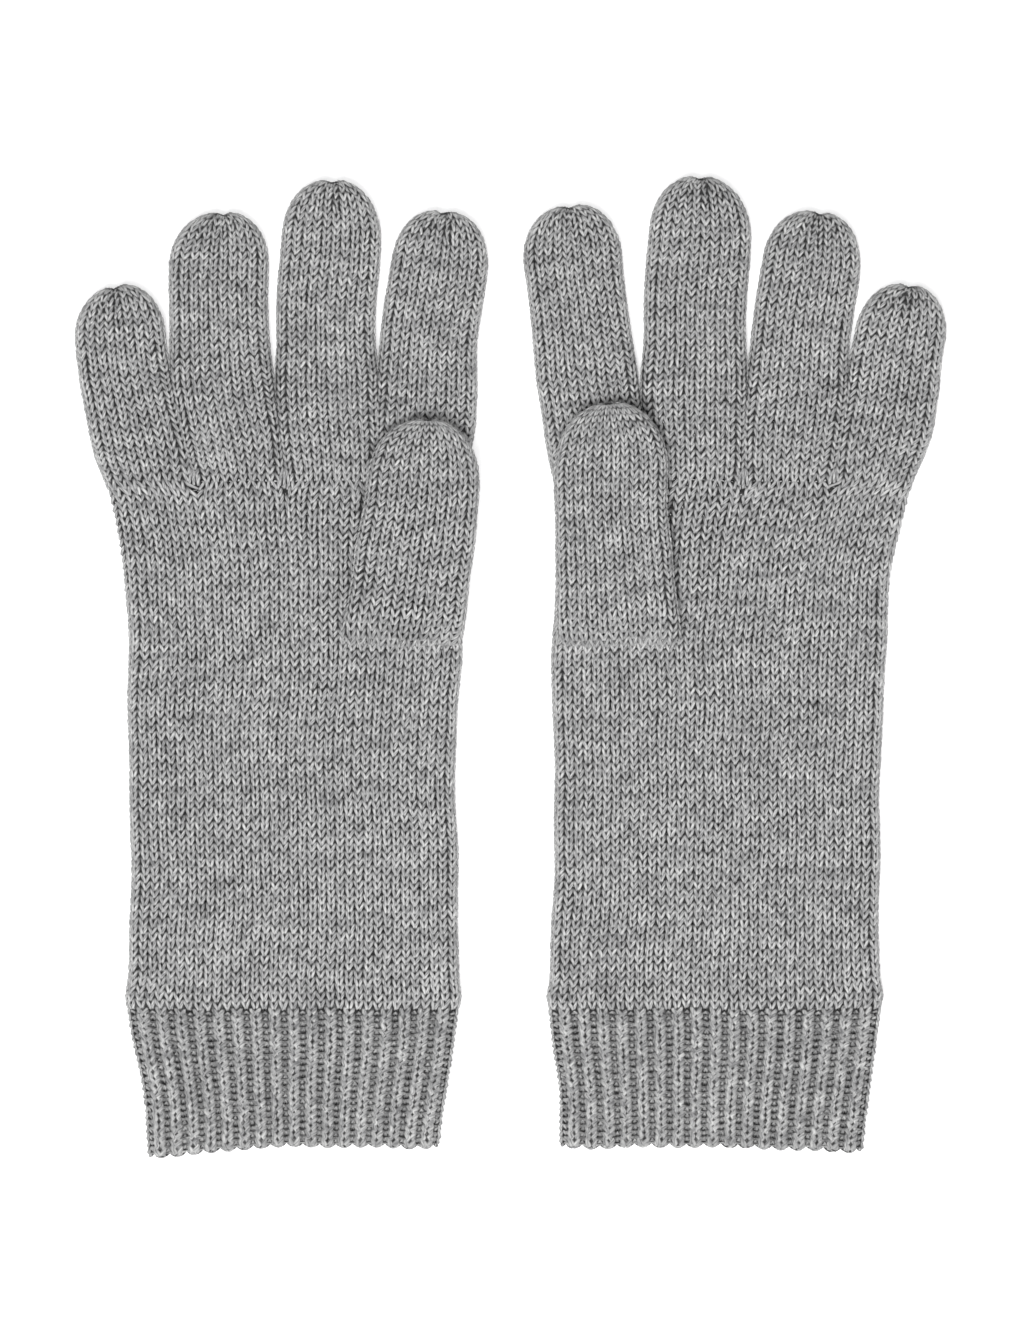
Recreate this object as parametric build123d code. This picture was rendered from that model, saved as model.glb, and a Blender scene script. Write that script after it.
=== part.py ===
"""A pair of knitted gloves laid flat on a table, palms up, with each thumb folded over its palm.

Every knitted section is a flattened hollow tube: two layers of knit with an air gap between them.
X runs across the pair, Y from the cuffs to the fingertips and Z up from the table.
The origin is on the table, at the middle of the pair. Sizes are in millimetres.

Each finger has its two real bending places, the middle knuckle and the end knuckle. Its tube is
cut there into a base, a middle and a tip, which fold towards the palm about a line on the palm
side of the tube, where the knit creases. The cuff turns up about the same kind of line.
"""

import os
from dataclasses import dataclass
from math import atan2, degrees

from build123d import *

# The knit
KNIT_WALL = 1.6  # thickness of one layer
TUBE_THICKNESS = 7.6  # both layers and the air between them
EDGE_ROUNDING = 3.3  # the folded edge of a flattened tube
CAVITY_ROUNDING = 1.6
YARN_RADIUS = 0.4

# Clearances
FOLD_GAP = 0.3  # between two sections that fold about each other
FINGER_GAP = 0.8  # between neighbouring fingers
THUMB_LIFT = 0.2  # between the palm and the thumb that lies on it

# Shared layout along the hand
ROOT_Y = 49.8  # where the fingers join the hand
CUFF_TOP_Y = -89.3
CUFF_END_Y = -127.4
MIDDLE_SHARE = 0.52  # share of a finger beyond its middle knuckle that is the middle section
DOME_RATIO = 1.3  # height of a fingertip's dome, in half-widths

# Thumb
THUMB_RAMP = 5.0  # the thumb's front slopes down to the palm over this length
THUMB_HOLE_LENGTH = 8.0
THUMB_HOLE_INSET = 5.0
THUMB_FLOOR_Z = TUBE_THICKNESS + THUMB_LIFT

# Threads
ELASTIC_PITCH = 3.2
ELASTIC_COUNT = 4
ELASTIC_SIZE = 0.6
ELASTIC_INSET = 0.5
CLOSING_RING_RADIUS = 1.4
FORK_STITCH_RADIUS = 0.3

OVERRUN = 2.0  # how far a cutting shape runs past what it cuts


@dataclass
class Finger:
    """A finger tube as it lies: its tip, its middle knuckle, and its span where it joins the hand."""

    name: str
    width: float
    tip: tuple
    knuckle: tuple
    root: tuple


@dataclass
class Glove:
    """One glove as it lies. Sides are (x, y) points from the cuff's join to the finger roots."""

    name: str
    fingers: list
    thumb: Finger
    left_side: list
    right_side: list
    cuff_end: tuple


RIGHT_GLOVE = Glove(
    name="right",
    fingers=[
        Finger("little", 24.0, (-104.8, 101.0), (-100.3, 66.8), (-107.7, -84.0)),
        Finger("ring", 26.6, (-77.5, 120.8), (-76.2, 73.4), (-84.0, -60.1)),
        Finger("middle", 26.6, (-47.6, 129.4), (-49.0, 76.9), (-60.1, -35.0)),
        Finger("index", 26.0, (-17.7, 121.2), (-22.5, 75.0), (-35.0, -11.5)),
    ],
    thumb=Finger("thumb", 29.4, (-22.4, 65.5), (-25.2, 36.6), (-29.2, 5.0)),
    left_side=[(-102.0, CUFF_TOP_Y), (-100.9, -75.0), (-101.3, -10.0), (-102.8, 26.0)],
    right_side=[(-14.0, CUFF_TOP_Y), (-14.3, -75.0), (-14.4, -10.0), (-13.2, 26.0)],
    cuff_end=(-96.3, -19.6),
)
LEFT_GLOVE = Glove(
    name="left",
    fingers=[
        Finger("index", 26.2, (15.0, 122.4), (20.5, 75.0), (11.2, 35.3)),
        Finger("middle", 26.8, (50.2, 129.6), (48.3, 76.9), (35.3, 61.0)),
        Finger("ring", 26.2, (81.0, 121.0), (75.2, 73.4), (61.0, 85.0)),
        Finger("little", 24.0, (105.0, 101.2), (99.4, 66.8), (85.0, 106.7)),
    ],
    thumb=Finger("thumb", 30.0, (25.4, 69.8), (26.4, 39.0), (27.2, 5.0)),
    left_side=[(9.9, CUFF_TOP_Y), (10.6, -75.0), (11.2, -10.0), (11.4, 26.0)],
    right_side=[(98.0, CUFF_TOP_Y), (96.8, -75.0), (97.9, -10.0), (100.5, 26.0)],
    cuff_end=(13.4, 93.1),
)
GLOVES = [RIGHT_GLOVE, LEFT_GLOVE]


def heading(start, end):
    """A unit vector in the table's plane."""
    return (Vector(*end) - Vector(*start)).normalized()


def across(direction):
    """The unit vector square to a heading, to its right."""
    return Vector(direction.Y, -direction.X)


def flat_point(vector):
    """A vector as an (x, y) point."""
    return (vector.X, vector.Y)


def end_knuckle(finger):
    """The point of the end knuckle, between the middle knuckle and the tip."""
    start = Vector(*finger.knuckle)
    return start + (Vector(*finger.tip) - start) * MIDDLE_SHARE


def slab(outline, low, high, rounding, is_open):
    """An upright slab on a closed outline, with its long edges rounded except along its open ends."""
    body = extrude(Plane.XY.offset(low) * make_face(outline), high - low)
    rounded = [
        edge
        for edge in body.edges()
        if abs(edge.center().Z - (low + high) / 2) > (high - low) / 2 - 0.01 and not is_open(edge)
    ]
    return fillet(rounded, rounding)


def lies_between(a, b):
    """A test for the edges of a slab's open end, which run from above point a to above point b."""
    line = heading(a, b)

    def test(edge):
        return all(
            abs((Vector(p.X, p.Y) - Vector(*a)).dot(across(line))) < 0.05
            for p in (edge @ 0, edge @ 0.5, edge @ 1)
        )

    return test


def side_curve(points):
    """One side of a tube, as a smooth curve through its points."""
    return Line(*points) if len(points) == 2 else Spline(*points)


def tube(left, right, floor=0.0):
    """A flattened tube, open at both ends, between a left and a right side that run the same way."""
    near = lies_between(left[0], right[0])
    far = lies_between(left[-1], right[-1])

    def closed(l_side, r_side):
        return [
            side_curve(l_side),
            Line(l_side[-1], r_side[-1]),
            side_curve(r_side),
            Line(l_side[0], r_side[0]),
        ]

    ceiling = floor + TUBE_THICKNESS
    outer = slab(closed(left, right), floor, ceiling, EDGE_ROUNDING, lambda e: near(e) or far(e))
    inner_left = inset(left, right)
    inner_right = inset(right, left)
    near_in = lies_between(inner_left[0], inner_right[0])
    far_in = lies_between(inner_left[-1], inner_right[-1])
    cavity = slab(
        closed(inner_left, inner_right),
        floor + KNIT_WALL,
        ceiling - KNIT_WALL,
        CAVITY_ROUNDING,
        lambda e: near_in(e) or far_in(e),
    )
    return outer - cavity


def inset(side, other):
    """A side moved in by the wall towards the other one, and run past both open ends."""
    moved = [Vector(*p) + heading(p, q) * KNIT_WALL for p, q in zip(side, other)]
    moved[0] += (moved[0] - moved[1]).normalized() * OVERRUN
    moved[-1] += (moved[-1] - moved[-2]).normalized() * OVERRUN
    return [flat_point(p) for p in moved]


def fingertip(start, tip, width, floor=0.0):
    """A flattened tube that is open at its start and domed at its tip."""
    direction = heading(start, tip)
    length = (Vector(*tip) - Vector(*start)).length

    def outline(half, run, back):
        dome = min(DOME_RATIO * half, run)
        shoulder = run - dome
        return [
            Line((-half, back), (-half, shoulder)),
            EllipticalCenterArc((0, shoulder), half, dome, start_angle=0, arc_size=180),
            Line((half, shoulder), (half, back)),
            Line((half, back), (-half, back)),
        ]

    ceiling = floor + TUBE_THICKNESS
    half = width / 2
    outer = slab(outline(half, length, 0), floor, ceiling, EDGE_ROUNDING, lies_between((-half, 0), (half, 0)))
    inner_half = half - KNIT_WALL
    cavity = slab(
        outline(inner_half, length - KNIT_WALL, -OVERRUN),
        floor + KNIT_WALL,
        ceiling - KNIT_WALL,
        CAVITY_ROUNDING,
        lies_between((-inner_half, -OVERRUN), (inner_half, -OVERRUN)),
    )
    turn = degrees(atan2(-direction.X, direction.Y))
    return Location((start[0], start[1], 0), (0, 0, turn)) * (outer - cavity)


def section_ends(start, end, width):
    """The left and right sides of a straight section of finger, clear of its folds."""
    direction = heading(start, end)
    side = across(direction) * (width / 2)
    near = Vector(*start) + direction * (FOLD_GAP / 2)
    far = Vector(*end) - direction * (FOLD_GAP / 2)
    left = [flat_point(p - side) for p in (near, far)]
    right = [flat_point(p + side) for p in (near, far)]
    return left, right


def finger_base(finger):
    """The fixed part of a finger, from the hand to the middle knuckle."""
    direction = heading(finger.knuckle, finger.tip)
    side = across(direction) * ((finger.width - FINGER_GAP) / 2)
    top = Vector(*finger.knuckle) - direction * (FOLD_GAP / 2)
    left = [(finger.root[0] + FINGER_GAP / 2, ROOT_Y), flat_point(top - side)]
    right = [(finger.root[1] - FINGER_GAP / 2, ROOT_Y), flat_point(top + side)]
    return tube(left, right)


def finger_middle(finger):
    """The part of a finger between its two knuckles."""
    end = end_knuckle(finger)
    return tube(*section_ends(finger.knuckle, flat_point(end), finger.width - FINGER_GAP))


def finger_tip(finger):
    """The domed end of a finger."""
    end = end_knuckle(finger)
    direction = heading(finger.knuckle, finger.tip)
    start = end + direction * (FOLD_GAP / 2)
    return fingertip(flat_point(start), finger.tip, finger.width - FINGER_GAP)


def closing_yarn(finger, floor=0.0):
    """The loop of yarn drawn tight through the last stitches, inside the fingertip."""
    direction = heading(finger.knuckle, finger.tip)
    centre = Vector(*finger.tip) - direction * (KNIT_WALL + 2 * YARN_RADIUS)
    plane = Plane(
        origin=(centre.X, centre.Y, floor + TUBE_THICKNESS / 2),
        z_dir=(direction.X, direction.Y, 0),
    )
    return plane * Torus(CLOSING_RING_RADIUS, YARN_RADIUS)


def thumb_base(thumb):
    """The lower thumb: its front slopes to the palm, and its back has the hole to the hand's inside."""
    start = thumb.root
    direction = heading(start, thumb.knuckle)
    beyond = heading(thumb.knuckle, thumb.tip)
    near = Vector(*start)
    near_side = across(direction) * (thumb.width / 2)
    far = Vector(*thumb.knuckle) - beyond * (FOLD_GAP / 2)
    far_side = across(beyond) * (thumb.width / 2)
    left = [flat_point(near - near_side), flat_point(far - far_side)]
    right = [flat_point(near + near_side), flat_point(far + far_side)]
    body = tube(left, right, THUMB_FLOOR_Z)
    turn = degrees(atan2(-direction.X, direction.Y))
    place = Location((start[0], start[1], THUMB_FLOOR_Z), (0, 0, turn))
    ramp = Plane.YZ * make_face(
        Polyline(
            (-OVERRUN, TUBE_THICKNESS - THUMB_RAMP - OVERRUN),
            (THUMB_RAMP + OVERRUN, TUBE_THICKNESS + OVERRUN),
            (-OVERRUN, TUBE_THICKNESS + OVERRUN),
            close=True,
        )
    )
    wedge = place * extrude(ramp, thumb.width, both=True)
    return body - wedge - thumb_hole(thumb)


def thumb_hole(thumb):
    """The way from the hand into the thumb, through the palm's layer and the thumb's back layer."""
    direction = heading(thumb.root, thumb.knuckle)
    turn = degrees(atan2(-direction.X, direction.Y))
    place = Location((thumb.root[0], thumb.root[1], THUMB_FLOOR_Z), (0, 0, turn))
    middle_y = THUMB_HOLE_INSET + THUMB_HOLE_LENGTH / 2
    hole = Box(thumb.width - 2 * EDGE_ROUNDING, THUMB_HOLE_LENGTH, 2 * KNIT_WALL + THUMB_LIFT + 0.4)
    return place * Pos(0, middle_y, -THUMB_LIFT / 2) * hole


def thumb_tip(thumb):
    """The domed upper thumb."""
    direction = heading(thumb.knuckle, thumb.tip)
    start = Vector(*thumb.knuckle) + direction * (FOLD_GAP / 2)
    return fingertip(flat_point(start), thumb.tip, thumb.width, THUMB_FLOOR_Z)


def hand_tube(glove):
    """The hand, from the cuff to the finger roots, with the thumb's hole in its palm layer."""
    left = glove.left_side + [(glove.fingers[0].root[0], ROOT_Y)]
    right = glove.right_side + [(glove.fingers[-1].root[1], ROOT_Y)]
    return tube(left, right) - thumb_hole(glove.thumb)


def cuff_rib(glove):
    """The ribbed cuff, narrower at its open end."""
    top = CUFF_TOP_Y - FOLD_GAP
    left = [(glove.cuff_end[0], CUFF_END_Y), (glove.left_side[0][0], top)]
    right = [(glove.cuff_end[1], CUFF_END_Y), (glove.right_side[0][0], top)]
    return tube(left, right)


def cuff_elastic(glove):
    """Elastic threads knitted round inside the wall of the cuff's open end."""
    middle_x = sum(glove.cuff_end) / 2
    width = glove.cuff_end[1] - glove.cuff_end[0]
    outer = SlotOverall(width - 2 * ELASTIC_INSET, TUBE_THICKNESS - 2 * ELASTIC_INSET)
    inner_inset = ELASTIC_INSET + ELASTIC_SIZE
    inner = SlotOverall(width - 2 * inner_inset, TUBE_THICKNESS - 2 * inner_inset)
    rings = []
    for i in range(ELASTIC_COUNT):
        place = Plane(
            origin=(middle_x, CUFF_END_Y + ELASTIC_PITCH * (i + 1), TUBE_THICKNESS / 2),
            x_dir=(1, 0, 0),
            z_dir=(0, -1, 0),
        )
        rings.append(place * extrude(outer - inner, ELASTIC_SIZE / 2, both=True))
    return Compound(children=rings)


def fork_stitches(glove):
    """The yarn that ties the front layer to the back one at each fork between two fingers."""
    height = TUBE_THICKNESS - 2 * KNIT_WALL / 2
    forks = [finger.root[1] for finger in glove.fingers[:-1]]
    y = ROOT_Y + FORK_STITCH_RADIUS + 0.1
    ties = [Pos(x, y, TUBE_THICKNESS / 2) * Cylinder(FORK_STITCH_RADIUS, height) for x in forks]
    return Compound(children=ties)


def glove_nodes(glove):
    """Every piece of one glove, by its node's name."""
    nodes = {
        "hand_tube": hand_tube(glove),
        "cuff_rib": cuff_rib(glove),
        "cuff_elastic": cuff_elastic(glove),
        "fork_stitches": fork_stitches(glove),
        "thumb_base": thumb_base(glove.thumb),
        "thumb_tip": thumb_tip(glove.thumb),
        "thumb_closing_yarn": closing_yarn(glove.thumb, THUMB_FLOOR_Z),
    }
    for finger in glove.fingers:
        nodes[f"{finger.name}_base"] = finger_base(finger)
        nodes[f"{finger.name}_middle"] = finger_middle(finger)
        nodes[f"{finger.name}_tip"] = finger_tip(finger)
        nodes[f"{finger.name}_closing_yarn"] = closing_yarn(finger)
    return {f"{glove.name}_{name}": shape for name, shape in nodes.items()}


def main():
    os.makedirs("parts", exist_ok=True)
    for glove in GLOVES:
        for name, shape in glove_nodes(glove).items():
            export_step(shape, f"parts/{name}.step")


if __name__ == "__main__":
    main()
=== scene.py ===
"""The visual model of a pair of knitted gloves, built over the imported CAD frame.

Every course of the knit is a real ring of yarn: it runs round its tube as a chain of loops, and the
legs of each loop lie over the heads of the loops of the course before, so the gloves are made of
stitches. Lengths below are in millimetres and become metres where a mesh is made.
X runs across the pair, Y from the cuffs to the fingertips, Z up from the table.

On a tube, u counts stitches round it from its left edge over the front, and v counts courses
towards the fingertips. A wale is a column of stitches, and u is whole in the middle of each wale.
"""

from dataclasses import dataclass

import bpy
import numpy as np
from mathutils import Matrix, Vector


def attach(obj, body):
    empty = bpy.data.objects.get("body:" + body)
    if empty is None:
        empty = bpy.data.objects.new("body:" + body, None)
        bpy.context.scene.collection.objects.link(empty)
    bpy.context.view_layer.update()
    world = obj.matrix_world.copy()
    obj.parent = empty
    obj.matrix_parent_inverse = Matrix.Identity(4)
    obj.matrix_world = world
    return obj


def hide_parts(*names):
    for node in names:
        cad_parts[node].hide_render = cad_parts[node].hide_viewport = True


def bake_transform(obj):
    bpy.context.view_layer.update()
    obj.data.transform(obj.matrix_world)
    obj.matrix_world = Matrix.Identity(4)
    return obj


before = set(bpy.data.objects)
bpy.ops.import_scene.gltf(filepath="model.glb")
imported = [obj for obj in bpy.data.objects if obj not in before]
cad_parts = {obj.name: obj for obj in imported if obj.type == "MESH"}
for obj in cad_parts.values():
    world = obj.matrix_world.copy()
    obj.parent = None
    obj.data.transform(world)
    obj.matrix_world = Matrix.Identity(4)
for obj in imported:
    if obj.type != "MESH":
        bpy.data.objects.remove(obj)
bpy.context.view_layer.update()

MM = 0.001
RANDOM_SEED = 11

# The knit
WALE = 2.62  # width of a stitch
COURSE = 1.95  # height of a course in the hand
FINGER_COURSE = 1.86
RIB_COURSE = 1.72
LEG_LEAN = 0.275  # how far the legs of a loop swing sideways, in stitches
LOOP_REACH = 0.94  # how far a loop reaches to each side of its course, in courses
LOOP_DEPTH = 0.45  # how far the legs stand out and the heads sink in
LOOP_TILT = 0.38  # how far the foot of each leg lies over the loop below it

# The yarn
YARN_RADIUS = 0.52
YARN_FLATNESS = 0.92  # thickness of the yarn over its width
YARN_REACH = LOOP_DEPTH + YARN_RADIUS
TIGHTEST_STITCH = 0.45  # loops thin no further once stitches are this share of their full width
THINNING = 0.6  # how strongly loops thin as stitches narrow
STITCH_YARN = 8.0  # yarn in one stitch
POINTS_PER_STITCH = 12
YARN_SIDES = 5

# How uneven the loops are, as shares of what each one changes
LEAN_JITTER = 0.26
REACH_JITTER = 0.12
DEPTH_JITTER = 0.25
RADIUS_JITTER = 0.07
STITCH_JITTER = 0.055  # in stitches
COURSE_JITTER = 0.1  # in courses

# How unevenly the knit lies. A wave is its rates along X and Y in radians per millimetre, and its phase.
DRIFT = 0.35  # how far the wales and courses wander
DRIFT_X_WAVES = [(0.0, 0.11, 1.0), (0.06, 0.21, 0.0)]
DRIFT_Y_WAVES = [(0.13, 0.0, 2.0), (0.27, -0.09, 0.0)]
RELIEF = 0.18  # how far the knit rises and sinks
RELIEF_WAVES = [(0.19, 0.05, 1.0), (0.07, -0.13, 2.0), (0.31, 0.23, 0.0)]
DIGIT_RELIEF = 0.6  # the same on a finger, as a share of the hand's

# The tubes
THICKNESS = 7.6
HALF_HEIGHT = THICKNESS / 2 - YARN_REACH
MIDDLE_Z = THICKNESS / 2
HAND_STITCHES = 72
FINGER_STITCHES = 86  # of the four fingers together
HAND_STATIONS = 60
HAND_PANELS = ("wrist", "heel", "palm", "knuckle")
LEAD_COURSES = 2.0  # each tube runs on by this much at both ends
LEAST_HALF_WIDTH = 0.4
LEAST_HALF_HEIGHT = 0.2
SURFACE_STEP = 0.05  # for the slopes of a tube's surface, in stitches and courses

# Layout along the hand
CUFF_END_Y = -126.6
CUFF_TOP_Y = -89.3
THUMB_ROOT_Y = 4.8
ROOT_Y = 49.8
HAND_COURSES = round((ROOT_Y - CUFF_TOP_Y) / COURSE)
CUFF_COURSES = round((CUFF_TOP_Y - CUFF_END_Y) / RIB_COURSE)

# The cuff
RIB_RELIEF = 0.7  # half the height of a raised rib over a sunk one
RIB_CENTRE = 0.6  # how far the middle of the rib's swing lies below the plain knit, as a share of it
RIB_FIRST_COURSE = 0.8  # the ribs swell out between these courses
RIB_FULL_COURSE = -2.0
RIB_STITCH_FIRST = 0.6  # and their stitches change between these
RIB_STITCH_FULL = -1.0
RIB_LEAN = 0.27  # LEG_LEAN in the ribs
RIB_WIDENING = 0.29  # how much wider the raised ribs are than the sunk ones
RIB_PLUMPNESS = 0.55  # how much thicker their yarn is
RIB_PAINTED_LIGHT = 0.3  # painted light that brightens the raised ribs, in the units of a loop's depth
RIB_SHADE = 0.82  # painted shade that darkens the sunk ones
PURL_SWELL = 1.4  # how far the heads of the sunk ribs stand out, against the legs of the raised ones
PURL_PEAK = 0.5  # how steeply those arches fall away to their sides, in courses
PURL_BREADTH = 2.0  # how much of each head's arch stands out
RIB_SCALLOP = 0.45  # how far the ends of the raised ribs stand past the rim, and the others short of it
SCALLOP_COURSES = 3
RIM_COURSES = 1.6  # the cuff's end rounds inwards over these courses
RIM_TUCK = 1.2  # and draws up by this much
RIM_OVERRUN = 1.2  # the furthest it rounds, past the last course
DROOP_START = 0.2  # the outer corner hangs lower from this share of the cuff's half width outwards
JUNCTION_BULGE = 0.7  # the first plain courses above the cuff swell out
JUNCTION_COURSE = 1.5
JUNCTION_LENGTH = 1.6

# The forks between the fingers
FORK_LOSS = (FINGER_STITCHES - HAND_STITCHES) / 12  # stitches of a face that end beside a fork
FAN_START_Y = -12.0  # the wales fan out from here to the forks
FORK_LENGTH = 5.0  # the wales gather into their fingers over this length
FORK_CREASE_Y = 43.0  # where the creases below the forks begin
FORK_DEPTH = 0.75  # how far the hand closes in at the forks, as a share of the way

# The fingers
ROOT_INSET = 0.6 * YARN_REACH  # a digit's tube lies inside its outline, less at its root
SIDE_INSET = 0.8 * YARN_REACH
FINGER_TURN = 16.0  # a finger takes on its own direction and width over this length
TOUCH_WIDTH = 0.5  # a finger is this much fuller where it presses against its neighbours
TOUCH_LENGTH = 32.0  # they press together along this length above the forks
TOUCH_EASE = 6.0
MIDDLE_SHARE = 0.52  # the end knuckle's place between the middle knuckle and the tip
PATH_POINTS = 80
PROFILE_POINTS = 40

# The fingertips
DOME_RATIO = 1.25  # height of the dome in half widths
DOME_FULLNESS = 0.92  # 1 for a plain ellipse, less for fuller shoulders
DOME_ROUNDING = 5.5  # the end of a finger thins out over this length
COURSE_SPREAD = 0.4  # how far the dome counts as longer than it is, as a share of its narrowing
TIP_DIMPLE = 1.6  # how far the drawn-up end turns in
TIP_RING = 1.0  # half width of the hole it leaves
TIP_MOUTH = 1.4  # half width of the dimple's mouth, in tip rings
TIP_THICKNESS = 0.8  # half height of a tip, in tip rings
DIMPLE_STATIONS = 4  # the last stations of a tube, which turn in and back
CREASE_COUNT = 3
CREASE_SPREAD = 0.75  # radians to each side of the finger
CREASE_SWAY = 0.25
CREASE_DEPTHS = (0.6, 1.1)
DEEPEST_CREASE = 1.2  # where creases meet
CREASE_BREADTH = 0.55
CREASE_LENGTH = 12.0
GATHER_DEPTH = 1.6  # how deep a crease is
NOTCH_DEPTH = 0.6  # how far the outline of a drawn-up tip dips where its creases meet
NOTCH_WIDTH = 1.3
NOTCH_OFFSET = 1.5  # the furthest it lies beside the point
NOTCH_LENGTH = 5.0

# The thumb
THUMB_ROOT_COURSE = 48
THUMB_TURN = 20.0  # as FINGER_TURN
THUMB_RISE = 11.0  # the thumb climbs from the palm's surface over this length
THUMB_CLEARANCE = 0.1  # between the palm and the thumb that lies on it
THUMB_SINK = 1.1  # the front of the thumb starts this far below the palm's knit
THUMB_EMERGENCE = 4.5  # and comes out of it over this length
THUMB_START = 1.0  # half its thickness where it starts

# Painted light, multiplied into the yarn's colour, in the units of a loop's depth: a painted highlight
# on the edges, where the yarn's fuzz is seen from the side, and painted shade in the places after that.
PAINTED_EDGE_LIGHT = 0.6
CREASE_SHADE = 0.75  # where a finger presses against its neighbour
CREASE_SHARPNESS = 24  # more keeps the shade closer to the edge
CREASE_FADE = (-4.0, 8.0)  # where it fades, from the end of the touch
THUMB_CREASE_SHADE = 0.5  # on the palm, beside the thumb
THUMB_CREASE_WIDTH = 1.1
THUMB_CREASE_UNDER = 3.0  # it runs on under the thumb by this much
THUMB_CREASE_FADE = (-1.0, 8.0)  # where it begins, from the thumb's root
FORK_SHADE = 0.15  # in the creases below the forks
GATHER_SHADE = 0.5  # in the creases of a tip

# Half the length of each joint's bend, used only to choose where a digit's knit is split
KNUCKLE_REACH = 9.0
END_KNUCKLE_REACH = 7.0
THUMB_ROOT_REACH = 4.0

# Binding yarn
TIE_POINTS = 24
TIE_RADIUS = 0.5
TIE_PAINTED_LIGHT = 0.8  # its painted light level, as though it lay this high, in the units of a loop's depth
FORK_TURNS = (-1, 0, 1)  # a fork's turns of yarn, counted from the middle one
FORK_TIE_PITCH = 1.0
FORK_TIE_RISE = 0.4
FORK_TIE_LENGTH = 2.8
FORK_TIE_HEIGHT = 2.7
FORK_TIE_FAN = 0.4
CLOSING_WIDTH = 1.5
CLOSING_HEIGHT = 1.0
CLOSING_STEP = 1.6  # from the outer closing turn to the inner one, in yarn radii
CLOSING_INNER_WIDTH = 0.6
CLOSING_INNER_HEIGHT = 0.7

# The look of the yarn
PLAIN_COLOURS = ((0.21, 0.21, 0.215), (0.49, 0.49, 0.49), (0.82, 0.82, 0.81))
# the plain knit's yarn colours, darkened as painted shade for the deep ribbed cuff
SHADED_RIB_COLOURS = ((0.175, 0.175, 0.18), (0.43, 0.43, 0.43), (0.745, 0.745, 0.735))
COLOUR_STOPS = (0.32, 0.5, 0.68)
PLIES = 3.0
PLY_TWIST = 0.55  # grooves met per millimetre along the yarn
PLY_GROOVE = 0.16  # half width of a groove, as a share of a ply
# painted shade in the grooves between the plies
PLY_GROOVE_PAINTED_SHADE = 0.16
FIBRE_TWIST = 0.16  # turns of the fibres per millimetre of yarn
FIBRES_AROUND = 13.0
FIBRE_STRETCH = 0.9
FIBRE_SHARE = 0.62
PATCH_STRETCH = 0.8
PATCHES_AROUND = 1.5
PATCH_SHARE = 0.38
SHADE_SHARE = 0.04
SLOW_SHADE = 0.6
SLOW_SHADE_SPREAD = 4.0  # stitches
QUICK_SHADE = 0.5
DARK_LIFT = 0.55  # the heights where the painted shade is darkest and where it ends, in the units of a loop's depth
BRIGHT_LIFT = 1.68  # in the units of a loop's depth
# the colour's share left where the painted shade is darkest
LEAST_LIGHT = 0.035
YARN_ROUGHNESS = (0.95, 0.78)
FIBRE_HEIGHT = 0.7
PLY_HEIGHT = 0.6
BUMP_STRENGTH = 0.7
BUMP_DISTANCE = 0.16
SHEEN = 0.25
SHEEN_ROUGHNESS = 0.6
SPECULAR = 0.2
COURSE_OFFSET = 7.31  # stitches between the starts of two courses in the yarn's pattern
BAKE_MARGIN = 0.04

# The stage, in metres
FLOOR_SIZE = 2.0  # it ends where it still looks as white as the background
FLOOR_COLOUR = (0.85, 0.85, 0.85, 1)
FLOOR_ROUGHNESS = 0.9
FLOOR_GLOW = 0.5
WHITE = (1, 1, 1, 1)
WORLD_LIGHT = 0.2
WORLD_WHITE = 1.0  # what the camera sees beyond the floor
KEY_LIGHT = ((-0.25, -0.6, 1.65), 0.7, 26)  # place, size and power
FILL_LIGHT = ((0.5, 0.6, 1.7), 1.4, 9)
CAMERA_HEIGHT = 1.5
CAMERA_Y = -0.0008
PICTURE_HEIGHT = 0.3562  # of the table, from the bottom of the picture to its top
SENSOR = 36.0
CAMERA_RANGE = 20


@dataclass
class Finger:
    """A finger as it lies: its tip, its middle knuckle and its span where it joins the hand."""

    name: str
    width: float
    tip: tuple
    knuckle: tuple
    root: tuple
    stitches: int
    pressed: tuple = (1, 1)  # how much painted shade darkens its left and its right side where they touch what lies beside


@dataclass
class Glove:
    """One glove as it lies. Each side is a list of (x, y) points from the cuff's end upwards."""

    name: str
    fingers: list
    thumb: Finger
    left_side: list
    right_side: list
    outer: int  # -1 where the little finger is on the left, 1 where it is on the right
    droop: float  # how much lower the outer corner of the cuff hangs


RIGHT_GLOVE = Glove(
    name="right",
    fingers=[
        Finger("little", 24.0, (-104.8, 101.0), (-100.3, 66.8), (-107.7, -84.0), 20, (0, 1)),
        Finger("ring", 26.6, (-77.5, 120.8), (-76.2, 73.4), (-84.0, -60.1), 22),
        Finger("middle", 26.6, (-47.3, 128.9), (-49.0, 76.9), (-60.1, -35.0), 22),
        Finger("index", 26.0, (-17.5, 121.0), (-22.7, 75.0), (-35.0, -12.4), 22, (1, 0)),
    ],
    thumb=Finger("thumb", 30.2, (-22.3, 65.5), (-24.6, 36.6), (-44.2, -13.2), 24, (0.45, 0)),
    left_side=[(-96.2, -126.6), (-98.2, -109.0), (-101.7, -90.0), (-101.4, -75.0),
               (-101.8, -10.0), (-103.1, 26.0), (-107.5, 49.8)],
    right_side=[(-18.9, -126.6), (-17.0, -109.0), (-13.8, -90.0), (-13.8, -75.0), (-14.0, -10.0),
                (-12.9, 4.5), (-13.9, 16.0), (-13.4, 30.0), (-12.4, 49.8)],
    outer=-1,
    droop=2.7,
)
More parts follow.
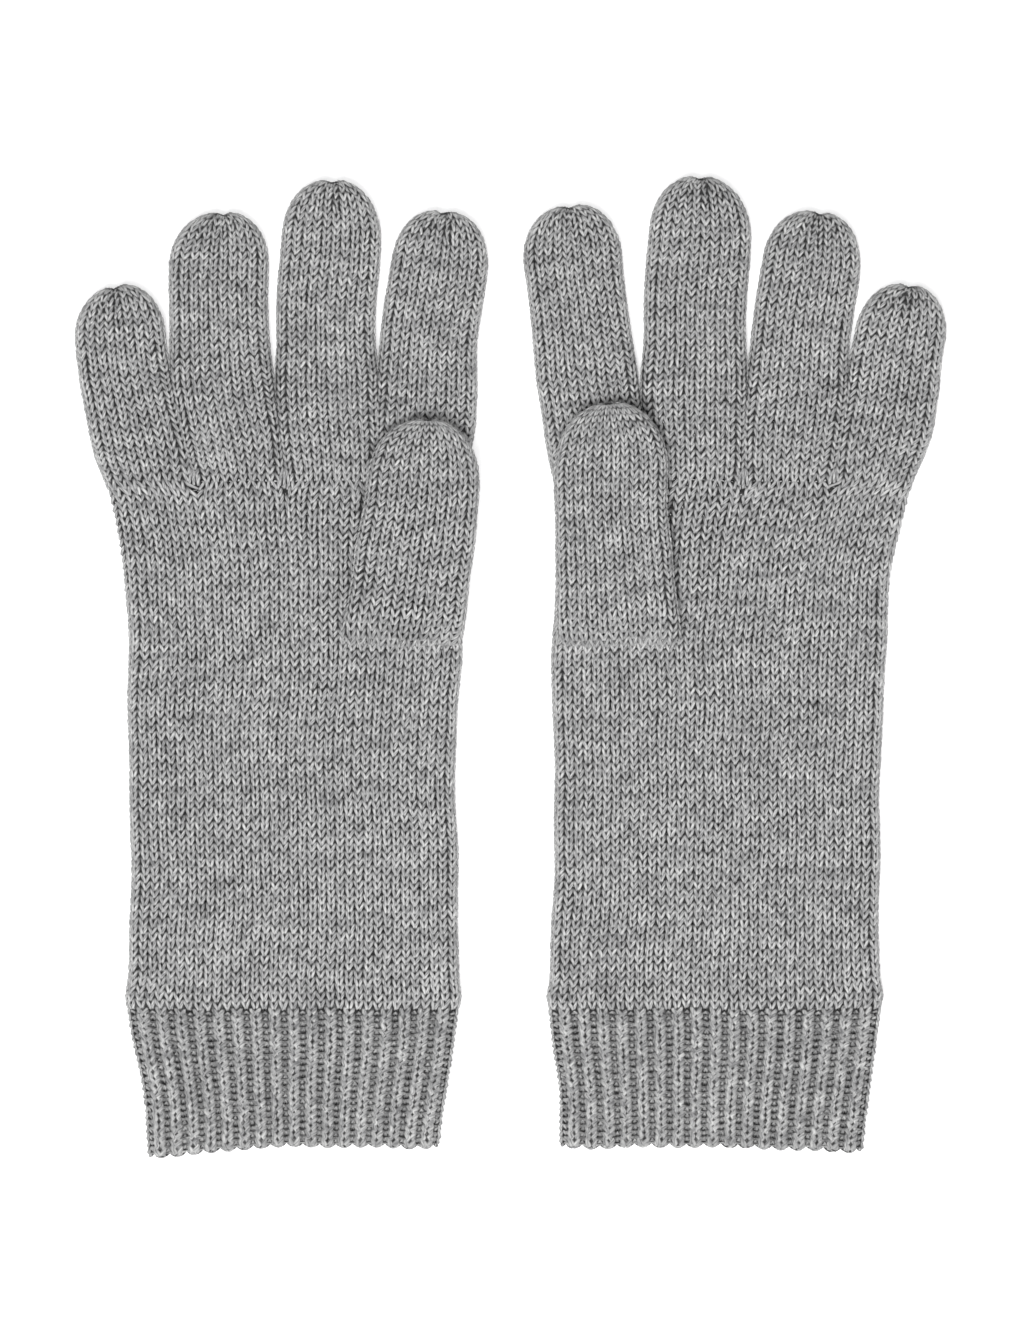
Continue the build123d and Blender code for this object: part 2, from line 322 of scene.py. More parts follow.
LEFT_GLOVE = Glove(
    name="left",
    fingers=[
        Finger("index", 26.2, (14.4, 122.6), (20.2, 75.0), (11.2, 35.3), 22, (0, 1)),
        Finger("middle", 27.4, (50.0, 129.8), (48.2, 76.9), (35.3, 61.0), 22),
        Finger("ring", 26.4, (80.7, 121.0), (75.1, 73.4), (61.0, 85.0), 22),
        Finger("little", 24.0, (105.2, 101.4), (99.0, 66.8), (85.0, 106.3), 20, (1, 0)),
    ],
    thumb=Finger("thumb", 30.0, (25.4, 69.8), (26.4, 39.0), (10.8, 43.4), 26, (0, 0.6)),
    left_side=[(12.4, -126.6), (11.7, -109.0), (9.6, -90.0), (10.0, -75.0), (10.6, -10.0),
               (9.7, 4.5), (11.0, 16.0), (11.2, 30.0), (11.2, 49.8)],
    right_side=[(93.2, -126.6), (94.7, -109.0), (97.7, -90.0), (97.4, -75.0),
                (98.5, -10.0), (100.9, 26.0), (106.3, 49.8)],
    outer=1,
    droop=1.3,
)
GLOVES = [RIGHT_GLOVE, LEFT_GLOVE]


def smoothstep(low, high, x):
    t = np.clip((x - low) / (high - low), 0, 1)
    return t * t * (3 - 2 * t)


def unit(vectors):
    """The same vectors, one long each."""
    return vectors / (np.linalg.norm(vectors, axis=-1, keepdims=True) + 1e-9)


def bell(x, width):
    return np.exp(-((x / width) ** 2))


def waves(x, y, terms):
    """The mean of several slanting waves."""
    return sum(np.sin(x * rate_x + y * rate_y + phase) for rate_x, rate_y, phase in terms) / len(terms)


def spline(points, at):
    """A smooth curve through points, read off at values of their last coordinate, which grows."""
    points = np.array(points, float)
    keys, values = points[:, -1], points[:, :-1]
    slopes = np.gradient(values, keys, axis=0)
    i = np.clip(np.searchsorted(keys, at) - 1, 0, len(keys) - 2)
    span = keys[i + 1] - keys[i]
    t = (at - keys[i]) / span
    t, span = t[:, None], span[:, None]
    return (
        (1 + 2 * t) * (1 - t) ** 2 * values[i]
        + t * (1 - t) ** 2 * span * slopes[i]
        + t * t * (3 - 2 * t) * values[i + 1]
        + t * t * (t - 1) * span * slopes[i + 1]
    )


def ring_point(turn, half_width, half_height):
    """A point of a flattened ring, as (sideways, up). A turn runs from 0 at the left edge, over the
    front to 1/2 at the right edge, and back underneath."""
    bend = np.minimum(half_height, half_width)
    flat = 2 * (half_width - bend)
    quarter = np.pi * bend / 2
    turn = np.mod(turn, 1)
    front = turn < 0.5
    run = np.where(front, turn, 1 - turn) * 2 * (flat + 2 * quarter)
    left_angle = np.clip(run, 0, quarter) / bend
    right_angle = np.clip(run - quarter - flat, 0, quarter) / bend
    side = -half_width + bend * (1 - np.cos(left_angle)) + np.clip(run - quarter, 0, flat)
    side = side + bend * np.sin(right_angle)
    up = bend * (np.sin(left_angle) - 1 + np.cos(right_angle))
    return side, np.where(front, up, -up)


@dataclass
class Tube:
    """A knitted tube as flattened rings at stations along it. Across a ring, q is -1 at its left edge
    and 1 at its right edge, and up is the height over its middle."""

    stitches: int
    course: np.ndarray
    centre: np.ndarray
    across: np.ndarray
    half_width: np.ndarray
    half_height: np.ndarray
    bend_rule: object  # moves points of the plain rings, given (u, v, q, up, point)
    shade_rule: object  # how much painted shade darkens a point, given (u, point)

    def extend(self):
        """Runs the tube on at each end, for the loops that reach past the first and last course."""
        for name in ("centre", "across", "half_width", "half_height"):
            v = getattr(self, name)
            first = v[0] - (v[1] - v[0]) * LEAD_COURSES / (self.course[1] - self.course[0])
            last = v[-1] + (v[-1] - v[-2]) * LEAD_COURSES / (self.course[-1] - self.course[-2])
            setattr(self, name, np.concatenate([[first], v, [last]]))
        ends = [self.course[0] - LEAD_COURSES], [self.course[-1] + LEAD_COURSES]
        self.course = np.concatenate([ends[0], self.course, ends[1]])
        self.half_width = np.maximum(self.half_width, LEAST_HALF_WIDTH)
        self.half_height = np.maximum(self.half_height, LEAST_HALF_HEIGHT)

    def at(self, name, v):
        values = getattr(self, name)
        if values.ndim == 1:
            return np.interp(v, self.course, values)
        return np.stack([np.interp(v, self.course, values[:, i]) for i in range(3)], -1)

    def place(self, u, v):
        """The point of the tube's surface at stitch u of course v."""
        half_width = self.at("half_width", v)
        side, up = ring_point(u / self.stitches, half_width, self.at("half_height", v))
        point = self.at("centre", v) + side[..., None] * self.at("across", v)
        point[..., 2] += up
        self.bend_rule(u, v, side / half_width, up, point)
        drift(point)
        return point

    def slopes(self, u, v):
        """How the surface runs on round the tube and along it, over two small steps."""
        step = SURFACE_STEP
        around = self.place(u + step, v) - self.place(u - step, v)
        return around, self.place(u, v + step) - self.place(u, v - step)


def drift(point):
    """The slight waviness of the wales and courses of hand-laid knit."""
    x, y = point[..., 0].copy(), point[..., 1].copy()
    point[..., 0] += DRIFT * waves(x, y, DRIFT_X_WAVES)
    point[..., 1] += DRIFT * waves(x, y, DRIFT_Y_WAVES)


def add_relief(point, up, share):
    """The slight unevenness of knit that lies on a table, on the tube's front and back."""
    rise = share * RELIEF * waves(point[..., 0], point[..., 1], RELIEF_WAVES)
    point[..., 2] += np.sign(up) * rise * smoothstep(0, 1, np.abs(up))


# The hand and the cuff are one tube: courses below 0 are the cuff's.


def course_y(v):
    """The Y of a course of the hand or the cuff."""
    hand = CUFF_TOP_Y + v * (ROOT_Y - CUFF_TOP_Y) / HAND_COURSES
    cuff = CUFF_TOP_Y + v * (CUFF_TOP_Y - CUFF_END_Y) / CUFF_COURSES
    return np.where(v > 0, hand, cuff)


def hand_tube(glove):
    course = np.linspace(-CUFF_COURSES, HAND_COURSES, HAND_STATIONS)
    y = course_y(course)
    left = spline(glove.left_side, y)[:, 0] + YARN_REACH
    right = spline(glove.right_side, y)[:, 0] - YARN_REACH
    return Tube(
        stitches=HAND_STITCHES,
        course=course,
        centre=np.stack([(left + right) / 2, y, np.full_like(y, MIDDLE_Z)], -1),
        across=np.tile([1.0, 0.0, 0.0], (len(y), 1)),
        half_width=(right - left) / 2,
        half_height=np.full_like(y, HALF_HEIGHT),
        bend_rule=hand_bends(glove),
        shade_rule=hand_shade(glove),
    )


def hand_bends(glove):
    """How the hand's plain tube is shaped at the fingers and at the cuff."""

    def rule(u, v, q, up, point):
        fan_out(glove, u, q, up, point)
        raise_ribs(u, v, q, up, point)
        finish_cuff(glove, u, v, q, point)
        add_relief(point, up, 1.0)

    return rule


def fan_out(glove, u, q, up, point):
    """The wales fan out into the fingers, and the hand closes in at the forks."""
    y = point[..., 1].copy()
    even_x, ring_x, finger_up, slope = fan_target(glove, front_wale(u))
    gather = smoothstep(ROOT_Y - FORK_LENGTH, ROOT_Y + 1, y)
    fan = even_x + (ring_x - even_x) * gather + (y - ROOT_Y) * slope
    edges = fan_target(glove, np.array([0.0, HAND_STITCHES / 2]))
    low, high = [x + (y - ROOT_Y) * edge_slope for x, edge_slope in zip(edges[0], edges[3])]
    fan -= low + (high - low) * (q + 1) / 2
    point[..., 0] += fan * smoothstep(FAN_START_Y, ROOT_Y, y)
    closing = FORK_DEPTH * smoothstep(FORK_CREASE_Y, ROOT_Y, y)
    point[..., 2] += closing * (np.sign(up) * finger_up - up)


def front_wale(u):
    """The wale of a stitch of the hand, counted from the left edge on either face."""
    turn = np.mod(u / HAND_STITCHES, 1)
    return np.where(turn < 0.5, turn, 1 - turn) * HAND_STITCHES


def finger_marks(glove):
    """The wale of the hand at which each finger begins, and the last one's end."""
    shares = np.array([finger.stitches / 2 - 2 * FORK_LOSS for finger in glove.fingers])
    shares[[0, -1]] += FORK_LOSS
    return np.concatenate([[0], np.cumsum(shares)])


def finger_half_root(finger):
    """Half the width of a finger's surface where it joins the hand."""
    return (finger.root[1] - finger.root[0]) / 2 - ROOT_INSET


def fan_target(glove, wale):
    """Where a wale of the hand's front runs into its finger: its x with the wales evenly spread, its
    x and height on the finger's own ring, and its slope."""
    marks = finger_marks(glove)
    edges = [glove.fingers[0].root[0]] + [finger.root[1] for finger in glove.fingers]
    edges[0] += YARN_REACH
    edges[-1] -= YARN_REACH
    x, up = np.zeros_like(wale), np.zeros_like(wale)
    for i, finger in enumerate(glove.fingers):
        lost = FORK_LOSS if i else 0.0
        stitch = np.clip(lost + wale - marks[i], 0, finger.stitches / 2)
        side, height = ring_point(stitch / finger.stitches, finger_half_root(finger), HALF_HEIGHT)
        inside = (wale >= marks[i]) & (wale <= marks[i + 1] + 1e-6)
        x = np.where(inside, sum(finger.root) / 2 + side, x)
        up = np.where(inside, height, up)
    slopes = [(f.tip[0] - f.knuckle[0]) / (f.tip[1] - f.knuckle[1]) for f in glove.fingers]
    slope = np.interp(wale, (marks[1:] + marks[:-1]) / 2, slopes)
    return np.interp(wale, marks, edges), x, up, slope


def rib_wave(u):
    """1 in the middle of a raised rib, -1 in the middle of a sunk one."""
    return np.cos(np.pi * u)


def raise_ribs(u, v, q, up, point):
    """The cuff's ribs, and the swelling of the first plain courses above them."""
    outward = np.sign(up) * np.minimum(np.abs(up), 1)
    rib = smoothstep(RIB_FIRST_COURSE, RIB_FULL_COURSE, v)
    bulge = JUNCTION_BULGE * bell(v - JUNCTION_COURSE, JUNCTION_LENGTH)
    point[..., 0] += q * bulge
    point[..., 2] += outward * (rib * RIB_RELIEF * (rib_wave(u) - RIB_CENTRE) + bulge / 2)


def finish_cuff(glove, u, v, q, point):
    """The cuff's end rounds inwards and has a scallop at each rib. Its outer corner droops."""
    rim = np.clip((RIM_COURSES - CUFF_COURSES - v) / RIM_COURSES, 0, RIM_OVERRUN)
    point[..., 2] -= (point[..., 2] - MIDDLE_Z) * (1 - np.cos(rim * np.pi / 2))
    scallop = RIB_SCALLOP * rib_wave(u) * smoothstep(SCALLOP_COURSES - CUFF_COURSES, -CUFF_COURSES, v)
    droop = smoothstep(DROOP_START, 1.0, q * glove.outer) * smoothstep(0, -CUFF_COURSES, v)
    point[..., 1] += rim**2 * RIM_TUCK - scallop - droop * glove.droop


def thumb_edge(glove, y):
    """The x of the thumb's inner edge, where it lies on the palm."""
    thumb = glove.thumb
    inner = thumb.root[0] if glove.outer < 0 else thumb.root[1]
    knuckle = thumb.knuckle[0] + glove.outer * thumb.width / 2
    tip = thumb.tip[0] + glove.outer * thumb.width / 2
    return np.interp(y, [THUMB_ROOT_Y, thumb.knuckle[1], thumb.tip[1]], [inner, knuckle, tip])


def hand_shade(glove):
    """Painted shade in the creases beside the thumb and between the roots of the fingers."""

    def rule(u, centre):
        x, y, z = centre[..., 0], centre[..., 1], centre[..., 2]
        outside = (x - thumb_edge(glove, y)) * glove.outer
        beside = bell(np.maximum(outside, 0), THUMB_CREASE_WIDTH) * (outside > -THUMB_CREASE_UNDER)
        start, full = np.add(THUMB_ROOT_Y, THUMB_CREASE_FADE)
        beside *= smoothstep(start, full, y) * (z > MIDDLE_Z)
        finger_up = fan_target(glove, front_wale(u))[2]
        between = (1 - finger_up / HALF_HEIGHT) ** 2 * smoothstep(FORK_CREASE_Y, ROOT_Y, y)
        return THUMB_CREASE_SHADE * beside + FORK_SHADE * between

    return rule


# The fingers and thumbs


def finger_profile(length, half_width):
    """Distances and shares of the width along a finger, from its root to its dimpled end, and how far
    its courses have run there. Where the finger narrows, its courses lie closer than on its edge."""
    dome = DOME_RATIO * half_width
    angle = np.linspace(0, np.pi / 2, PROFILE_POINTS)
    straight = np.linspace(0, length - dome, PROFILE_POINTS, endpoint=False)
    along = np.concatenate([straight, length - dome + dome * np.sin(angle) ** DOME_FULLNESS])
    width = np.concatenate([np.ones(PROFILE_POINTS), np.cos(angle) ** DOME_FULLNESS])
    keep = width * half_width > TIP_RING * 2
    along = np.concatenate([along[keep], [length - TIP_DIMPLE / 2, length - TIP_DIMPLE]])
    width = np.concatenate([width[keep], [TIP_RING * TIP_MOUTH / half_width, TIP_RING / half_width]])
    narrowing = COURSE_SPREAD * np.diff(width * half_width)
    return along, width, np.concatenate([[0], np.cumsum(np.hypot(np.diff(along), narrowing))])


def digit_line(path, length_from, along):
    """Points and headings at distances along a smooth path of (x, y) points."""
    spot = [np.interp(along, length_from, path[:, i]) for i in range(2)]
    heading = np.gradient(path, axis=0)
    heading = [np.interp(along, length_from, heading[:, i]) for i in range(2)]
    return np.stack(spot, -1), np.stack(heading, -1)


def digit_tube(digit, path, half_root, turn_length, creases):
    """A finger or a thumb along a path of (x, y) points from its root to its tip. It starts square
    to the hand. Returns the tube and the distance of each station along it."""
    path = np.array(path, float)
    y = np.linspace(path[0, 1], path[-1, 1], PATH_POINTS)
    line = np.stack([spline(path, y)[:, 0], y], -1)
    run = np.concatenate([[0], np.cumsum(np.hypot(*np.diff(line, axis=0).T))])
    half_width = digit.width / 2 - SIDE_INSET
    along, width, reach = finger_profile(run[-1], half_width)
    spot, heading = digit_line(line, run, along)
    turned = smoothstep(0, turn_length, along)
    side = unit(np.stack([heading[:, 1], -heading[:, 0]], -1))
    side = unit(side * turned[:, None] + np.array([1.0, 0.0]) * (1 - turned)[:, None])
    touch = smoothstep(0, TOUCH_EASE, along)
    touch *= 1 - smoothstep(TOUCH_LENGTH - TOUCH_EASE, TOUCH_LENGTH + TOUCH_EASE, along)
    thin = np.clip((run[-1] - along) / DOME_ROUNDING, 0, 1)
    zeros = np.zeros(len(along))
    tube = Tube(
        stitches=digit.stitches,
        course=reach / reach[-1] * round(reach[-1] / FINGER_COURSE),
        centre=np.column_stack([spot, zeros + MIDDLE_Z]),
        across=np.column_stack([side, zeros]),
        half_width=width * (half_root + (half_width - half_root) * turned) + TOUCH_WIDTH * touch,
        half_height=np.maximum(HALF_HEIGHT * np.sqrt(1 - (1 - thin) ** 2), TIP_RING * TIP_THICKNESS),
        bend_rule=digit_bends(digit, creases),
        shade_rule=digit_shade(digit, creases),
    )
    return tube, along


def finger_tube(finger):
    path = [(sum(finger.root) / 2, ROOT_Y), finger.knuckle, finger.tip]
    return digit_tube(finger, path, finger_half_root(finger), FINGER_TURN, digit_creases(finger))[0]


def thumb_root(thumb, hand):
    """The span of whole wales of the hand that run on into the thumb, and the thumb's first Y."""
    wale = np.arange(1.0, HAND_STITCHES / 2)
    x = hand.place(wale, np.full_like(wale, THUMB_ROOT_COURSE))[:, 0]
    count = thumb.stitches // 2
    first = int(np.argmin(np.abs((x[:-count] + x[count:]) / 2 - sum(thumb.root) / 2)))
    return x[first], x[first + count], float(course_y(THUMB_ROOT_COURSE))


def thumb_tube(thumb, hand):
    """The thumb rises from the palm's surface and lies on it."""
    left, right, root_y = thumb_root(thumb, hand)
    path = [((left + right) / 2, root_y), thumb.knuckle, thumb.tip]
    tube, along = digit_tube(thumb, path, (right - left) / 2, THUMB_TURN, [])
    rise = smoothstep(0, THUMB_RISE, along)
    top = MIDDLE_Z + HALF_HEIGHT + (THICKNESS + THUMB_CLEARANCE) * rise
    top -= THUMB_SINK * (1 - smoothstep(0, THUMB_EMERGENCE, along))
    thickness = THUMB_START * (1 - rise) + HALF_HEIGHT * rise
    tube.half_height = np.minimum(tube.half_height, thickness)
    tube.centre[:, 2] = np.minimum(top - tube.half_height, THICKNESS + THUMB_CLEARANCE + MIDDLE_Z)
    return tube


def digit_rng(digit, *more):
    return np.random.default_rng([RANDOM_SEED, round(abs(digit.tip[0]) * 10), *more])


def digit_creases(digit):
    """The direction and the depth of each crease that runs from a drawn-up tip."""
    rng = digit_rng(digit)
    angles = np.linspace(-CREASE_SPREAD, CREASE_SPREAD, CREASE_COUNT)
    angles = angles + rng.uniform(-CREASE_SWAY, CREASE_SWAY, CREASE_COUNT)
    return list(zip(angles, rng.uniform(*CREASE_DEPTHS, CREASE_COUNT)))


def crease_depth(digit, creases, point):
    """How deep each point lies in the creases of a drawn-up tip: about 1 in a crease."""
    x, y = point[..., 0] - digit.tip[0], digit.tip[1] - point[..., 1]
    total = np.zeros_like(x)
    for angle, depth in creases:
        beside = x * np.cos(angle) - y * np.sin(angle)
        along = x * np.sin(angle) + y * np.cos(angle)
        total += depth * bell(beside, CREASE_BREADTH) * (along > 0)
    fade = 1 - smoothstep(CREASE_LENGTH / 3, CREASE_LENGTH, np.hypot(x, y))
    return np.minimum(total, DEEPEST_CREASE) * fade


def digit_bends(digit, creases):
    """The folds between the creases of a drawn-up tip, and the notch where they meet."""
    notch = digit_rng(digit, 1).uniform(-NOTCH_OFFSET, NOTCH_OFFSET)
    notch_depth = NOTCH_DEPTH if creases else 0.0

    def rule(u, v, q, up, point):
        fold = GATHER_DEPTH * crease_depth(digit, creases, point)
        point[..., 2] -= np.sign(up) * fold * np.minimum(np.abs(up) / HALF_HEIGHT, 1)
        add_relief(point, up, DIGIT_RELIEF)
        x, y = point[..., 0] - digit.tip[0], digit.tip[1] - point[..., 1]
        point[..., 1] -= notch_depth * bell(x - notch, NOTCH_WIDTH) * (1 - smoothstep(0, NOTCH_LENGTH, y))

    return rule


def digit_shade(digit, creases):
    """Painted shade on a finger where it presses against its neighbours and in the creases of its tip."""

    def rule(u, centre):
        side = np.cos(2 * np.pi * u / digit.stitches)
        side = np.where(side > 0, *digit.pressed) * np.abs(side) ** CREASE_SHARPNESS
        start, end = np.add(ROOT_Y + TOUCH_LENGTH, CREASE_FADE)
        pressed = 1 - smoothstep(start, end, centre[..., 1])
        return CREASE_SHADE * side * pressed + GATHER_SHADE * crease_depth(digit, creases, centre)

    return rule


# The yarn


def wander(rng, rows, stitches):
    """A smooth random wander along each course, between about -1 and 1, at every point of its yarn."""
    knots = rng.uniform(-1, 1, (rows, stitches))
    t = (np.arange(stitches * POINTS_PER_STITCH) % POINTS_PER_STITCH) / POINTS_PER_STITCH
    t = smoothstep(0, 1, t)
    here = np.repeat(knots, POINTS_PER_STITCH, axis=1)
    there = np.repeat(np.roll(knots, -1, axis=1), POINTS_PER_STITCH, axis=1)
    return here * (1 - t) + there * t


def slow_wander(rng, rows, stitches, spread):
    """A wander that changes over several stitches, for the yarn's own change of shade."""
    spectrum = np.fft.rfft(rng.normal(0, 1, (rows, stitches)), axis=1)
    frequency = np.arange(spectrum.shape[1])
    smooth = np.fft.irfft(spectrum * bell(frequency * spread, stitches), stitches, axis=1)
    smooth /= smooth.std() + 1e-9
    return np.repeat(smooth, POINTS_PER_STITCH, axis=1)


def plain_loops(t, level, rib, jitter):
    """The stitch, the course and the height over the surface of yarn that runs as a chain of loops.
    A turn of t is one stitch: the head of the loop is at 0, and its legs are on both sides of it."""
    lean = LEG_LEAN + (RIB_LEAN - LEG_LEAN) * rib
    u = t / (2 * np.pi) + lean * np.sin(2 * t) * (1 + LEAN_JITTER * jitter[0]) + STITCH_JITTER * jitter[1]
    v = level + LOOP_REACH * np.cos(t) * (1 + REACH_JITTER * jitter[2]) + COURSE_JITTER * jitter[3]
    out = -LOOP_DEPTH * np.cos(2 * t) * (1 + DEPTH_JITTER * jitter[4])
    return u, v, out - LOOP_TILT * np.cos(t) * np.sin(t) ** 2


def rib_loops(t, u, v, out, rib, sunk):
    """The same in a rib: in the sunk ribs the heads of the loops stand out as arches."""
    arch = LOOP_DEPTH * PURL_SWELL * np.tanh(PURL_BREADTH * np.cos(2 * t))
    v = v - PURL_PEAK * sunk * np.sin(t) ** 2
    u = u + rib * RIB_WIDENING * np.sin(np.pi * u) / np.pi
    return u, v, out * (1 - sunk) + arch * sunk


def yarn_courses(tube, first, last, rng, ribbed):
    """The yarn of each course from first to last: its centre line, the surface's outward direction,
    its radius, and its painted light level, which is how high it lies, raised at the edges and lowered in
    creases and sunk ribs."""
    rows, stitches = last - first, tube.stitches
    t = np.arange(stitches * POINTS_PER_STITCH) * 2 * np.pi / POINTS_PER_STITCH
    jitter = [wander(rng, rows, stitches) for _ in range(6)]
    level = np.arange(first, last)[:, None] + 0.5
    rib = smoothstep(RIB_STITCH_FIRST, RIB_STITCH_FULL, level) if ribbed else np.zeros_like(level)
    u, v, out = plain_loops(t, level, rib, jitter)
    sunk = rib * (1 - rib_wave(u)) / 2
    u, v, out = rib_loops(t, u, v, out, rib, sunk)
    around, along = tube.slopes(u, v)
    outward = unit(np.cross(around, along))
    narrowness = np.linalg.norm(around, axis=-1) / (2 * SURFACE_STEP * WALE)
    crowding = np.clip(narrowness, TIGHTEST_STITCH, 1.0) ** THINNING
    centre = tube.place(u, v) + outward * (out * crowding)[..., None]
    raised = rib - sunk
    radius = YARN_RADIUS * crowding * (1 + RADIUS_JITTER * jitter[5]) * (1 + RIB_PLUMPNESS * raised)
    # Painted light: deep yarn gets painted shade, the edges a painted highlight, creases and sunk ribs
    # painted shade, raised ribs painted light.
    height = out / LOOP_DEPTH + PAINTED_EDGE_LIGHT * (1 - np.abs(outward[..., 2]))
    height = height - tube.shade_rule(u, centre) + RIB_PAINTED_LIGHT * raised - RIB_SHADE * sunk
    return centre, outward, radius, height


def yarn_surface(centre, outward, radius):
    """The points of the yarn's surface and how squarely each one faces out of the knit."""
    ahead = unit(np.roll(centre, -1, axis=1) - np.roll(centre, 1, axis=1))
    sideways = unit(np.cross(ahead, outward))
    raised = np.cross(sideways, ahead)
    angle = np.arange(YARN_SIDES) * 2 * np.pi / YARN_SIDES
    around = -np.cos(angle)[:, None] * raised[:, :, None] * YARN_FLATNESS
    around = around + np.sin(angle)[:, None] * sideways[:, :, None]
    facing = np.sum(raised * outward, -1)[:, :, None] * -np.cos(angle)
    return centre[:, :, None] + around * radius[:, :, None, None], facing


def yarn_faces(ring, point, side, points):
    """The four corners of each face of the yarn."""
    next_point, next_side = (point + 1) % points, (side + 1) % YARN_SIDES
    corners = [(point, side), (next_point, side), (next_point, next_side), (point, next_side)]
    return np.stack([(ring * points + p) * YARN_SIDES + s for p, s in corners], -1).reshape(-1, 4)


def face_mesh(name, vertices, faces):
    mesh = bpy.data.meshes.new(name)
    mesh.vertices.add(vertices.size // 3)
    mesh.vertices.foreach_set("co", vertices.astype(np.float32).ravel())
    mesh.loops.add(faces.size)
    mesh.loops.foreach_set("vertex_index", faces.astype(np.int32).ravel())
    mesh.polygons.add(len(faces))
    mesh.polygons.foreach_set("loop_start", np.arange(0, faces.size, 4, dtype=np.int32))
    mesh.update(calc_edges=True)
    mesh.shade_smooth()
    return mesh


def set_attribute(mesh, name, values):
    attribute = mesh.attributes.new(name, "FLOAT", "POINT")
    attribute.data.foreach_set("value", values.astype(np.float32))


def set_uv(mesh, name, u, v):
    layer = mesh.uv_layers.new(name=name)
    layer.data.foreach_set("uv", np.stack([u, v], -1).astype(np.float32).ravel())


def map_yarn(mesh, ring, point, side, stitches):
    """The yarn's own length and girth for its material, and a grid with a place for each stitch for
    baking."""
    corner_point = np.stack([point, point + 1, point + 1, point], -1)
    corner_side = np.stack([side, side, side + 1, side + 1], -1) / YARN_SIDES
    length = (corner_point / POINTS_PER_STITCH + ring[..., None] * COURSE_OFFSET) * STITCH_YARN
    set_uv(mesh, "Yarn", length, corner_side)
    number = point // POINTS_PER_STITCH
    inside = corner_point / POINTS_PER_STITCH - number[..., None]
    number = ring * stitches + number
    grid = int(np.ceil(np.sqrt(number.max() + 1)))
    scale = 1 - 2 * BAKE_MARGIN
    bake_u = ((number % grid)[..., None] + BAKE_MARGIN + scale * inside) / grid
    bake_v = ((number // grid)[..., None] + BAKE_MARGIN + scale * corner_side) / grid
    set_uv(mesh, "OFBake", bake_u, bake_v)


def yarn_piece(name, centre, outward, radius, shade, height, material):
    """An object of closed rings of yarn. Arrays are (rings, points, ...). The yarn's own tone at each
    point and its painted light level, from how high it lies, go to its material."""
    rings, points = radius.shape
    surface, facing = yarn_surface(centre, outward, radius)
    ring, point, side = np.indices((rings, points, YARN_SIDES))
    mesh = face_mesh(name, surface * MM, yarn_faces(ring, point, side, points))
    map_yarn(mesh, ring, point, side, points // POINTS_PER_STITCH)
    set_attribute(mesh, "yarn_shade", np.repeat(shade.ravel(), YARN_SIDES))
    # Painted shade on the sides of each yarn that turn away from the outside of the knit.
    painted_light_level = height[:, :, None] + facing * radius[:, :, None] / LOOP_DEPTH
    set_attribute(mesh, "yarn_lift", painted_light_level.ravel())
    mesh.materials.append(material)
    piece = bpy.data.objects.new(name, mesh)
    bpy.context.scene.collection.objects.link(piece)
    return piece


def knit_piece(name, tube, first, last, material, ribbed=False):
    """An object of knitted courses."""
    rng = np.random.default_rng([RANDOM_SEED, sum(map(ord, name))])
    centre, outward, radius, height = yarn_courses(tube, first, last, rng, ribbed)
    shade = SLOW_SHADE * slow_wander(rng, last - first, tube.stitches, SLOW_SHADE_SPREAD)
    shade = shade + QUICK_SHADE * wander(rng, last - first, tube.stitches)
    return yarn_piece(name, centre, outward, radius, shade, height, material)


def tie_piece(name, rings, material):
    """Rings of binding yarn. Each ring is its centre and the two half axes it runs round."""
    t = np.linspace(0, 2 * np.pi, TIE_POINTS, endpoint=False)[None, :, None]
    centre, first, second = [np.array(part, float)[:, None, :] for part in zip(*rings)]
    path = centre + first * np.cos(t) + second * np.sin(t)
    even = np.ones(path.shape[:2])
    outward = unit(path - centre)
    return yarn_piece(name, path, outward, even * TIE_RADIUS, even * 0, even * TIE_PAINTED_LIGHT, material)


# Materials


def node(tree, kind, inputs=None, **settings):
    """A node with its settings, and its inputs set from values or linked from other nodes' outputs."""
    made = tree.nodes.new(kind)
    for key, value in settings.items():
        setattr(made, key, value)
    for key, value in (inputs or {}).items():
        if isinstance(value, bpy.types.NodeSocket):
            tree.links.new(value, made.inputs[key])
        else:
            made.inputs[key].default_value = value
    return made


def maths(tree, operation, a, b):
    return node(tree, "ShaderNodeMath", {0: a, 1: b}, operation=operation).outputs[0]


def weighted(tree, *parts):
    """The sum of (output, weight) parts."""
    products = [maths(tree, "MULTIPLY", output, weight) for output, weight in parts]
    total = products[0]
    for product in products[1:]:
        total = maths(tree, "ADD", total, product)
    return total


def map_range(tree, value, source, target, smooth=False):
    """A value moved from one range to another."""
    inputs = {"Value": value, "From Min": source[0], "From Max": source[1]}
    inputs |= {"To Min": target[0], "To Max": target[1]}
    kind = "SMOOTHSTEP" if smooth else "LINEAR"
    return node(tree, "ShaderNodeMapRange", inputs, interpolation_type=kind).outputs[0]


def attribute(tree, name):
    return node(tree, "ShaderNodeAttribute", attribute_name=name).outputs["Fac"]


def noise(tree, x, y, detail, roughness):
    place = node(tree, "ShaderNodeCombineXYZ", {0: x, 1: y}).outputs[0]
    inputs = {"Vector": place, "Scale": 1.0, "Detail": detail, "Roughness": roughness}
    return node(tree, "ShaderNodeTexNoise", inputs).outputs["Fac"]


def ramp(tree, factor, stops):
    made = node(tree, "ShaderNodeValToRGB", {"Fac": factor})
    while len(made.color_ramp.elements) < len(stops):
        made.color_ramp.elements.new(0.5)
    for element, (position, colour) in zip(made.color_ramp.elements, stops):
        element.position = position
        element.color = (*colour, 1)
    return made.outputs["Color"]


def fibre_grain(tree, length, around):
    """Fine fibres that wind round the yarn."""
    twist = weighted(tree, (length, FIBRE_TWIST), (around, 1.0))
    stretched = maths(tree, "MULTIPLY", length, FIBRE_STRETCH)
    across = maths(tree, "MULTIPLY", twist, FIBRES_AROUND)
    return noise(tree, stretched, across, detail=2.0, roughness=0.6)


